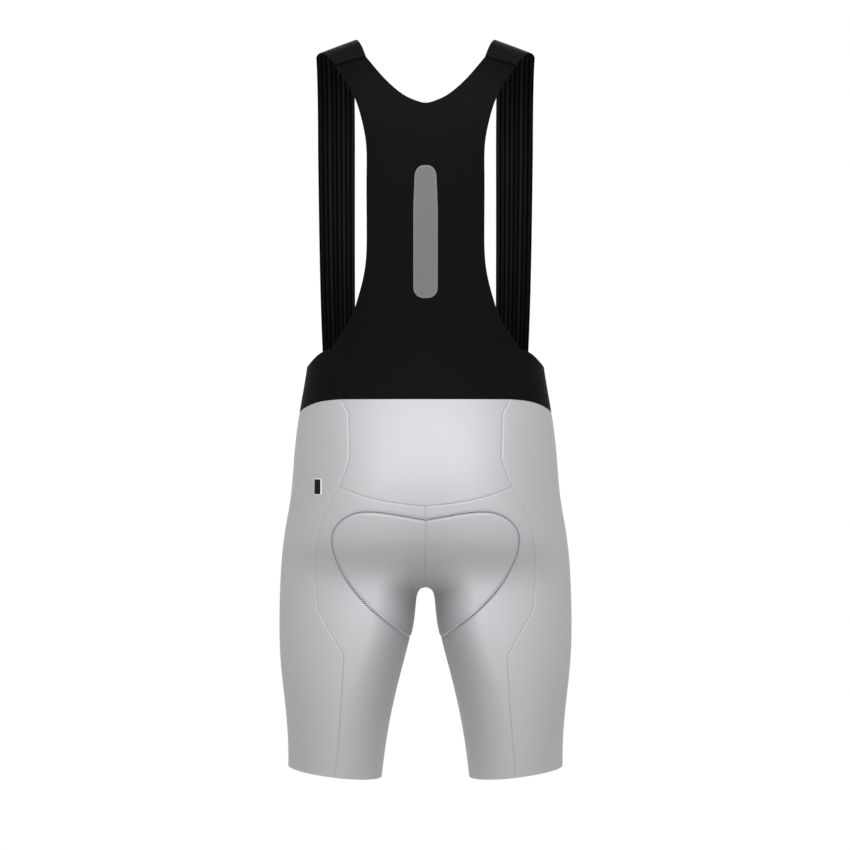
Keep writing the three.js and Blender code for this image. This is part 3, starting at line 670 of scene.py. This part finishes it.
def hemLine(zone):
    # The hem slopes: hemHeight + hemSlope * (x - the leg's middle).
    middle = float(fullestAt(cut["hemHeight"]))

    def at(share):
        x = zone(share, np.full_like(share, cut["hemHeight"]))[0][..., 0]
        return cut["hemHeight"] + cut["hemSlope"] * (x - middle)
    return at


def bodyPanel(zone, lines, counts, share, spacings, edges, pad=None):
    # A grid on the body between edge lines; columns of negative share lie on the other side.
    across = np.abs(share)
    rows = stackRows(lines, counts, across, spacings)
    points, normals = zone(np.broadcast_to(across, rows.shape), rows)
    side = np.where(share < 0, -1.0, 1.0)
    points[..., 0] *= side
    normals[..., 0] *= side
    rise = -edgeDip(points, **edges)
    if pad is not None:
        rise = rise + padRelief(points, pad)
    return {"points": points, "normals": normals, "rise": rise}


crowdEnd = lambda t: 1 - (1 - t) ** 2
crowdStart = lambda t: t ** 2

# Leg backs: hem to yoke, centre back and inner leg to the long back seam
legBackCut = {"columns": 70, "girth": 115, "rows": (80, 28, 22, 40, 32),
              "flat": (0.185, 0.350), "area": 0.0474}
share = spread(legBackCut["columns"], legBackCut["girth"])
legLevels = [level(height) for height in
             (cut["kneeCorner"], cut["thighCorner"], cut["crotch"], cut["crotch"] + cut["seatRow"])]
legEdges = {"left": "seam", "right": "seam", "bottom": "free", "top": "seam"}
legBack = bodyPanel(backZone, [hemLine(backZone), *legLevels, yokeEdgeAt], legBackCut["rows"], share,
                    [None, None, crowdEnd, crowdStart, None], legEdges, padLines["back"])
backLeft = clothShell("legBackLeft", [legBack], paleKnit)
backRight = clothShell("legBackRight", [mirrored(legBack)], paleKnit)

# Leg fronts: round the outer side to the centre front and inner leg
legFrontCut = {"columns": 130, "girth": 330, "rows": (48, 16, 16, 26, 24, 12, 20, 8), "loinFall": 0.9,
               "flat": (0.396, 0.452), "area": 0.1476}
share = spread(legFrontCut["columns"], legFrontCut["girth"])


def loinLine(share):
    # Under the black edge, which it follows by nine tenths
    return cut["loinCorner"] + (bandEdgeAt(share) - cut["band"]) * legFrontCut["loinFall"]


legFront = bodyPanel(
    frontZone,
    [hemLine(frontZone), *legLevels, level(cut["yokeCorner"]), level(cut["hipCorner"]), loinLine, bandEdgeAt],
    legFrontCut["rows"], share, [None, None, crowdEnd, crowdStart, None, None, None, None], legEdges)
padSide = legFront["points"][..., 1] < sectionAt(legFront["points"][..., 2])["middle"]
legFront["rise"] = legFront["rise"] + np.where(padSide, padRelief(legFront["points"], padLines["front"]), 0)
frontLeft = clothShell("legFrontLeft", [legFront], paleKnit)
frontRight = clothShell("legFrontRight", [mirrored(legFront)], paleKnit)

# Back yoke, in one piece across the centre back
yokeCut = {"columns": 66, "girth": 105, "rows": (10, 20, 8), "flat": (0.217, 0.126), "area": 0.0234}
half = spread(yokeCut["columns"] // 2, yokeCut["girth"], start=False)
share = np.concatenate([-half[:0:-1], half])
yoke = bodyPanel(
    backZone, [yokeEdgeAt, level(cut["hipCorner"]), level(cut["loinCorner"]), level(cut["band"])],
    yokeCut["rows"], share, None, {"left": "seam", "right": "seam", "bottom": "seam", "top": "seam"})
backYoke = clothShell("backYoke", [{**yoke, "centred": True}], paleKnit)

# Black front edge: from one back seam round the front to the other
waistCut = {"columns": 240, "girth": 325, "rows": (22,), "flat": (0.588, 0.088), "area": 0.0327}
half = spread(waistCut["columns"] // 2, waistCut["girth"], end=False)
share = np.concatenate([half, half[-2::-1]])
side = np.concatenate([np.ones(len(half)), -np.ones(len(half) - 1)])
rows = stackRows([bandEdgeAt, waistEdgeAt], waistCut["rows"], share)
points, normals = frontZone(np.broadcast_to(share, rows.shape), rows)
points[..., 0] *= side
normals[..., 0] *= side
waist = {"points": points, "normals": normals, "centred": True}
waist["rise"] = -edgeDip(points, left="seam", right="seam", bottom="seam", top="free")
waistFront = clothShell("waistFront", [waist], blackKnit)
print("body panels made")

# Bib back: rows from the centre or the neck scoop out to the side edge. stage runs up the panel;
# below the split the rows are level, and above it they fan out into the arm.
bibCut = {"columns": 34, "girth": 75, "rows": 190, "armRun": 130, "neckRound": 0.4,
          "flat": (0.237, 0.405), "area": 0.0641}
bibFan = table("outerHeight neckX", [
    (cut["bibSplit"], 0), (750, 0), (763, 0), (777, 0), (790, 11), (802, 24), (813, 37), (823, 48),
    (832, 58), (841, 65), (bibEdgeEnd[0], neckEnd[0]),
])
fanCentre = np.array([cut["bibSplit"], 760, 781, float(neckScoopAt(0.0))])


def bibGrid():
    # inner + (outer - inner) * t in x and in height, with the two edges read from the tables.
    stages = np.arange(len(bibFan["neckX"]))
    neckStage = len(fanCentre) - 1
    straight = cut["bibSplit"] - cut["band"]
    length = straight + bibCut["armRun"]
    climb = spread(bibCut["rows"], length) * length
    low = climb < straight
    stage = np.where(low, 0, (climb - straight) / bibCut["armRun"] * stages[-1])
    outerHeight = np.where(low, cut["band"] + climb, np.interp(stage, stages, bibFan["outerHeight"]))
    innerX = np.interp(stage, stages, bibFan["neckX"])
    centre = np.interp(stage, np.arange(len(fanCentre)), fanCentre)
    innerHeight = np.where(low, outerHeight, np.where(stage <= neckStage, centre, neckScoopAt(innerX)))
    sewn = outerHeight < cut["waistTop"]
    outerX = np.where(sewn, backSeamAt(outerHeight), bibEdgeAt(outerHeight))
    t = spread(bibCut["columns"], bibCut["girth"], start=False)
    x = innerX[:, None] + (outerX - innerX)[:, None] * t
    height = innerHeight[:, None] + (outerHeight - innerHeight)[:, None] * t
    points, normals = bibPoint(x, height)
    across, up = gridLengths(points)
    free = across[:, -1:] - across
    dip = edgeDip(points, right="free", bottom="seam", top="seam")
    seamed = np.where(sewn[:, None], seamForm["depth"] * np.exp(-(free / seamForm["width"]) ** 2), 0)
    radius = bibCut["neckRound"]
    neck = np.where(stage[:, None] >= neckStage, radius - np.minimum(across, radius), 0)
    dip = np.maximum(np.maximum(dip, seamed), radius - np.sqrt(np.maximum(radius ** 2 - neck ** 2, 0)))
    return {"points": points, "normals": normals, "rise": -dip}


bib = bibGrid()
bibBack = clothShell("bibBack", [bib, mirrored(bib)], blackKnit)

# Straps: the ribs stand on the face towards the wearer, broad, with narrow valleys
strapForm = {"columns": 130, "girth": 47, "rows": 190, "shoulderRun": 270,
             "ribs": 8, "ribHeight": 0.9, "plain": 0.5,  # tone of the smooth outer face
             "size": (0.8, 0.65, 0.95, 0.7, 0.5, 1.0, 0.55, 0.5),  # of each rib, from the inner edge
             "flat": (0.052, 0.520), "area": 0.0257}


def strapGrid():
    # Rib height = ribHeight * size * sin(pi * ribs * share)^2, into the inner face.
    climb = cut["chest"] - cut["strapFoot"]
    length = climb + strapForm["shoulderRun"]
    run = spread(strapForm["rows"], length) * length
    over = (run - climb) / strapForm["shoulderRun"] * (seamRoute - cut["chest"])
    route = np.where(run < climb, cut["strapFoot"] + run, cut["chest"] + over)
    share = spread(strapForm["columns"], strapForm["girth"])
    points, normals = strapPoint(np.broadcast_to(share, (len(route), len(share))), route[:, None] + 0 * share)
    wave = np.abs(np.sin(np.pi * strapForm["ribs"] * share))
    which = np.minimum(share * strapForm["ribs"], strapForm["ribs"] - 1).astype(int)
    rib = np.broadcast_to(wave ** 2 * np.array(strapForm["size"])[which], points.shape[:2])
    depth = cut["cloth"] + strapForm["ribHeight"] * rib
    rise = -edgeDip(points, left="free", right="free", bottom="seam", top="seam")
    # rib also sets the inner face's colour: painted highlight on the rib tops, painted shade in the valleys
    return {"points": points, "normals": normals, "rise": rise, "depth": depth, "value": rib}


strapSheet = strapGrid()
# The smooth outer face takes one even tone; the ribbed face carries the painted rib light and shade
ribLightAndShadeTones = {"ribHeight": strapForm["plain"]}
strapLeft = clothShell("strapLeft", [strapSheet], blackElasticPaintedRibLight, ribLightAndShadeTones)
strapRight = clothShell("strapRight", [mirrored(strapSheet)], blackElasticPaintedRibLight, ribLightAndShadeTones)
print("bib and straps made")


def roundedPlate(half, length, corner, columns, rows):
    # Grid of a plate with round corners: places across run to the outline's half width at each row.
    into = np.sort(np.concatenate([
        corner * (1 - np.cos(np.linspace(0, np.pi / 2, 14))),
        length - corner * (1 - np.cos(np.linspace(0, np.pi / 2, 14))),
        np.linspace(corner, length - corner, rows)[1:-1],
    ]))
    fromEnd = corner - np.minimum(np.minimum(into, length - into), corner)
    width = half - corner + np.sqrt(np.maximum(corner ** 2 - fromEnd ** 2, 0))
    place = 1 - 2 * spread(columns, 2 * half)
    across = np.maximum(width, 0.2)[:, None] * place
    return across, into[:, None] + 0 * across


def plateEdge(across, along, half, length, corner):
    # Distance in from the rounded outline
    dx = np.maximum(np.abs(across) - (half - corner), 0)
    dy = np.maximum(np.abs(along - length / 2) - (length / 2 - corner), 0)
    inner = np.minimum(half - np.abs(across), length / 2 - np.abs(along - length / 2))
    return np.where((dx > 0) & (dy > 0), corner - np.hypot(dx, dy), inner)


# Grey tape on the centre of the bib back
tapeForm = {"low": 573, "high": 727, "half": 14.3, "taper": 2, "taperRun": 50, "corner": 12,
            "gap": 0.3, "thick": 1.0, "bevel": 0.6, "rim": 1.1, "rimStrength": 1.6,
            "columns": 24, "rows": 90, "flat": (0.029, 0.154), "area": 0.0043}
length = tapeForm["high"] - tapeForm["low"]
across, along = roundedPlate(tapeForm["half"], length, tapeForm["corner"],
                             tapeForm["columns"], tapeForm["rows"])
inward = plateEdge(across, along, tapeForm["half"], length, tapeForm["corner"])
nearTop = np.clip(1 - (length - along) / tapeForm["taperRun"], 0, 1)
across = across * (1 - tapeForm["taper"] / tapeForm["half"] * nearTop)
points, normals = bibPoint(across, tapeForm["low"] + along)
tapeRise = tapeForm["gap"] + tapeForm["thick"] * np.clip(inward / tapeForm["bevel"], 0, 1) ** 0.5
rim = np.clip(tapeForm["rimStrength"] - inward / tapeForm["rim"], 0, 1)
tape = {"points": points, "normals": normals, "rise": tapeRise, "depth": -tapeForm["gap"],
        "value": rim, "centred": True}
backStrip = clothShell("centreTape", [tape], greyTape, {"rim": None})

# Small plain patch on the wearer's left hip
patchForm = {"x": 126, "height": 352, "half": 6.5, "length": 20, "corner": 3,
             "gap": 0.3, "thick": 1.0, "bevel": 0.5, "rim": 1.1, "rimBlend": 0.3, "columns": 16, "rows": 20}
section = sectionAt(np.array(float(patchForm["height"])))
slant = float(np.hypot(section["outer"], section["back"])) / np.sqrt(2)
across, along = roundedPlate(patchForm["half"], patchForm["length"], patchForm["corner"],
                             patchForm["columns"], patchForm["rows"])
inward = plateEdge(across, along, patchForm["half"], patchForm["length"], patchForm["corner"])
height = patchForm["height"] - patchForm["length"] / 2 + along
points, normals = bodyPoint(angleAtX(sectionAt(height), patchForm["x"], True) + across / slant, height)
patchRise = patchForm["gap"] + patchForm["thick"] * np.clip(inward / patchForm["bevel"], 0, 1) ** 0.5
rim = np.clip((patchForm["rim"] + patchForm["rimBlend"] - inward) / patchForm["rimBlend"], 0, 1)
patch = {"points": points, "normals": normals, "rise": patchRise, "depth": -patchForm["gap"], "value": rim}
hipPatch = clothShell("hipPatch", [patch], siliconePatch, {"rim": None})
print("tape and patch made")


def threads(name, starts, ends, lifts, radius, material):
    # Short stitches as one mesh: each is a six-sided spindle that arches from start to end,
    # centre = start + (end - start) * t + lift * 4 * t * (1 - t), and its girth fades at both ends.
    t = np.array([0.0, 0.12, 0.35, 0.65, 0.88, 1.0])
    girth = np.array([0.15, 0.8, 1, 1, 0.8, 0.15]) * radius
    turn = np.arange(6) * np.pi / 3
    run = unit(ends - starts)
    up = unit(lifts)
    sideways = unit(np.cross(run, up))
    arch = 4 * t * (1 - t)
    centre = starts[:, None] + (ends - starts)[:, None] * t[:, None] + lifts[:, None] * arch[:, None]
    ring = sideways[:, None] * np.cos(turn)[:, None] + up[:, None] * np.sin(turn)[:, None]
    points = centre[:, :, None] + ring[:, None] * girth[:, None, None]
    stitches, rings = len(starts), len(t)
    base = np.arange(stitches)[:, None, None] * rings * 6
    at = base + np.arange(rings)[:, None] * 6 + np.arange(6)
    following = base + np.arange(rings)[:, None] * 6 + (np.arange(6) + 1) % 6
    sides = np.stack([at[:, :-1], at[:, 1:], following[:, 1:], following[:, :-1]], -1).reshape(-1, 4)
    caps = [list(row) for row in at[:, 0].tolist()] + [row[::-1] for row in at[:, -1].tolist()]
    return meshPiece(name, points.reshape(-1, 3), sides.tolist() + caps, material)


# The pad is sewn through with slanted stitches of grey thread over a darker thread in the groove; that dark
# thread is painted shade, standing in for the shadow of the needle holes.
# They are coarser than real ones, so that they show.
stitchForm = {"pitch": 3.4, "width": 3.6, "radius": 0.62, "lean": 1.3, "lift": 0.8, "arch": 0.25,
              "under": 1.0, "underLap": 0.55, "sink": 0.1, "ends": (1.2, 1.0), "samples": 3000}


def padStitches(line, atBack):
    # Places along the pad's outline every pitch millimetres: point, outward, and along the line
    knots = np.linspace(0, len(line) - 1, stitchForm["samples"])
    fine = np.stack([np.interp(knots, np.arange(len(line)), column) for column in line.T], -1)
    section = sectionAt(fine[:, 1])
    points, normals = bodyPoint(angleAtX(section, fine[:, 0], atBack), fine[:, 1])
    steps = np.linalg.norm(np.diff(points, axis=0), axis=1)
    along = np.concatenate([[0], np.cumsum(steps)])
    first, last = stitchForm["ends"]
    wanted = np.arange(first, along[-1] - last, stitchForm["pitch"])
    pick = lambda a: np.stack([np.interp(wanted, along, a[:, k]) for k in range(3)], -1)
    direction = np.gradient(pick(points), axis=0)
    return pick(points), unit(pick(normals)), unit(direction)


def bothSides(vectors):
    # The vectors and their mirror images
    return np.concatenate([vectors, vectors * flip])


runs = [padStitches(padLines["back"], True), padStitches(padLines["front"], False)]
place, normal, direction = [np.concatenate(parts) for parts in zip(*runs)]
base = place + normal * (0.5 * padForm["rise"] - padForm["groove"] + stitchForm["sink"])
slant = unit(np.cross(normal, direction)) * stitchForm["width"] / 2 + direction * stitchForm["lean"]
over = base + normal * stitchForm["lift"]
padSeam = threads("padStitches", bothSides(over - slant), bothSides(over + slant),
                  bothSides(normal) * stitchForm["arch"], stitchForm["radius"], paleThread)
# Dark under-thread along the groove: painted shade of the needle holes between the stitches
step = direction * stitchForm["pitch"] * stitchForm["underLap"]
padGrooveShadeThread = threads("padUnderThreadPaintedShade", bothSides(base - step), bothSides(base + step),
                    bothSides(normal) * 0.05, stitchForm["under"], grooveShadeThread)

# Straps are sewn to the bib back with a wider black zigzag across the joint
shoulderStitch = {"count": 8, "width": 5.4, "radius": 0.55, "arch": 0.3, "above": 0.1}
share = (np.arange(shoulderStitch["count"] * 2) + 0.5) / (shoulderStitch["count"] * 2)
mid, midNormal = strapPoint(share, np.full_like(share, seamRoute))
ahead = strapPoint(share, np.full_like(share, seamRoute - 2.0))[0]
upStrap = unit(ahead - mid)
pitch = np.gradient(mid, axis=0)
sign = np.where(np.arange(len(share)) % 2 == 0, 1.0, -1.0)[:, None]
reach = upStrap * sign * shoulderStitch["width"] / 2
raised = mid + midNormal * shoulderStitch["above"]
zigzag = reach + pitch * 0.5
shoulderSeam = threads("shoulderStitches", bothSides(raised - zigzag), bothSides(raised + zigzag),
                       bothSides(midNormal) * shoulderStitch["arch"], shoulderStitch["radius"], blackThread)
print("stitches made")

# Each piece, the node it stands for, a slot name and the cut of its cloth: pieces go to the root and their
# nodes in the frame are hidden; slot and cut are not used
dressing = [
    (backLeft, "back_left", "pale_knit", legBackCut),
    (backRight, "back_right", "pale_knit", legBackCut),
    (frontLeft, "front_left", "pale_knit", legFrontCut),
    (frontRight, "front_right", "pale_knit", legFrontCut),
    (backYoke, "back_yoke", "pale_knit", yokeCut),
    (waistFront, "waist_front", "black_knit", waistCut),
    (bibBack, "bib_back", "black_knit", bibCut),
    (strapLeft, "strap_left", "black_elastic", strapForm),
    (strapRight, "strap_right", "black_elastic", strapForm),
    (backStrip, "back_strip", "grey_tape", tapeForm),
    (hipPatch, "hip_label", "black_patch", None),
]
for piece, nodeName, slot, sheetCut in dressing:
    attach(piece, "root")
    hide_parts(nodeName)
for piece, slot in ((padSeam, "pale_knit"), (padGrooveShadeThread, "pale_knit"), (shoulderSeam, "black_elastic")):
    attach(piece, "root")

# Round sheet of matt white paper on the floor, below the picture's lower edge
floorForm = {"height": -1.6, "radius": 3.6, "corners": 96}


def floorPaper():
    # One flat round face: corners at (cos, sin) * radius
    turn = np.arange(floorForm["corners"]) * 2 * np.pi / floorForm["corners"]
    rim = np.stack([np.cos(turn), np.sin(turn), 0 * turn], -1) * floorForm["radius"]
    rim[:, 2] = floorForm["height"]
    mesh = bpy.data.meshes.new("floorPaper")
    mesh.from_pydata(rim, [], [list(range(floorForm["corners"]))])
    material, tree = newMaterial("mattWhitePaper")
    grain = node(tree, "ShaderNodeTexNoise", inputs={"Scale": 60.0, "Detail": 3.0})
    bump = node(tree, "ShaderNodeBump", {"Height": grain}, {"Strength": 0.05, "Distance": 0.001})
    cover = node(tree, "ShaderNodeBsdfPrincipled", {"Normal": bump},
                 {"Base Color": linear("#f0f0f0"), "Roughness": 0.9})
    node(tree, "ShaderNodeOutputMaterial", {"Surface": cover})
    mesh.materials.append(material)
    paper = bpy.data.objects.new("floorPaper", mesh)
    bpy.context.scene.collection.objects.link(paper)
    return paper


floorPaper()


def softLight(name, place, aim, size, power):
    # A rectangular lamp at place that shines towards aim
    lamp = bpy.data.lights.new(name, "AREA")
    lamp.shape = "RECTANGLE"
    lamp.size, lamp.size_y = size
    lamp.energy = power
    light = bpy.data.objects.new(name, lamp)
    light.location = place
    light.rotation_euler = (Vector(aim) - Vector(place)).to_track_quat("-Z", "Y").to_euler()
    bpy.context.scene.collection.objects.link(light)
    return light


# Soft boxes: place, width and height, power in watts. All of them face the shorts' middle.
lamps = {
    "keyBox": ((0.1, 2.15, 1.05), (1.8, 0.8), 22),
    "leftBox": ((-0.9, 1.5, 1.6), (0.8, 0.8), 28),
    "rightBox": ((0.9, 1.5, 1.6), (0.8, 0.8), 21),
    "frontBox": ((0, -2.4, 1.2), (1.8, 0.8), 34),
    "lowBox": ((0, 2.6, -0.95), (1.2, 0.4), 5),
}
for name, (place, size, power) in lamps.items():
    softLight(name, place, (0, 0, -0.45), size, power)

walls = {"wall": 1.01, "ceiling": 0.03, "fadeFrom": 0.3, "fadeTo": 0.45}


def studioWalls():
    # The room around: a white wall all round at eye level that darkens to the ceiling and floor,
    # by a smooth step of the size of the direction's upward part.
    world = bpy.data.worlds.new("studioWalls")
    world.use_nodes = True
    tree = world.node_tree
    place = node(tree, "ShaderNodeTexCoord")
    axes = node(tree, "ShaderNodeSeparateXYZ", {"Vector": place.outputs["Generated"]})
    upright = node(tree, "ShaderNodeMath", {0: axes.outputs["Z"]}, operation="ABSOLUTE")
    glow = node(tree, "ShaderNodeMapRange", {"Value": upright},
                {"From Min": walls["fadeFrom"], "From Max": walls["fadeTo"],
                 "To Min": walls["wall"], "To Max": walls["ceiling"]}, interpolation_type="SMOOTHSTEP")
    background = tree.nodes["Background"]
    background.inputs["Color"].default_value = (1, 1, 1, 1)
    tree.links.new(glow.outputs["Result"], background.inputs["Strength"])
    return world


world = studioWalls()
bpy.context.scene.world = world
bpy.context.scene.view_settings.view_transform = "Standard"

# Camera level behind the wearer's back: 1.02 m across the picture at the shoulders' distance
viewForm = {"distance": 3.5, "span": 1.02, "height": (424.6 - shoulderHeight) * 0.001, "side": 0.0006}
lens = bpy.data.cameras.new("backView")
lens.sensor_width = 36
lens.lens = 36 * viewForm["distance"] / viewForm["span"]
camera = bpy.data.objects.new("backView", lens)
camera.location = (viewForm["side"], viewForm["distance"], viewForm["height"])
camera.rotation_euler = (np.pi / 2, 0, np.pi)
bpy.context.scene.collection.objects.link(camera)
bpy.context.scene.camera = camera
print("studio made")
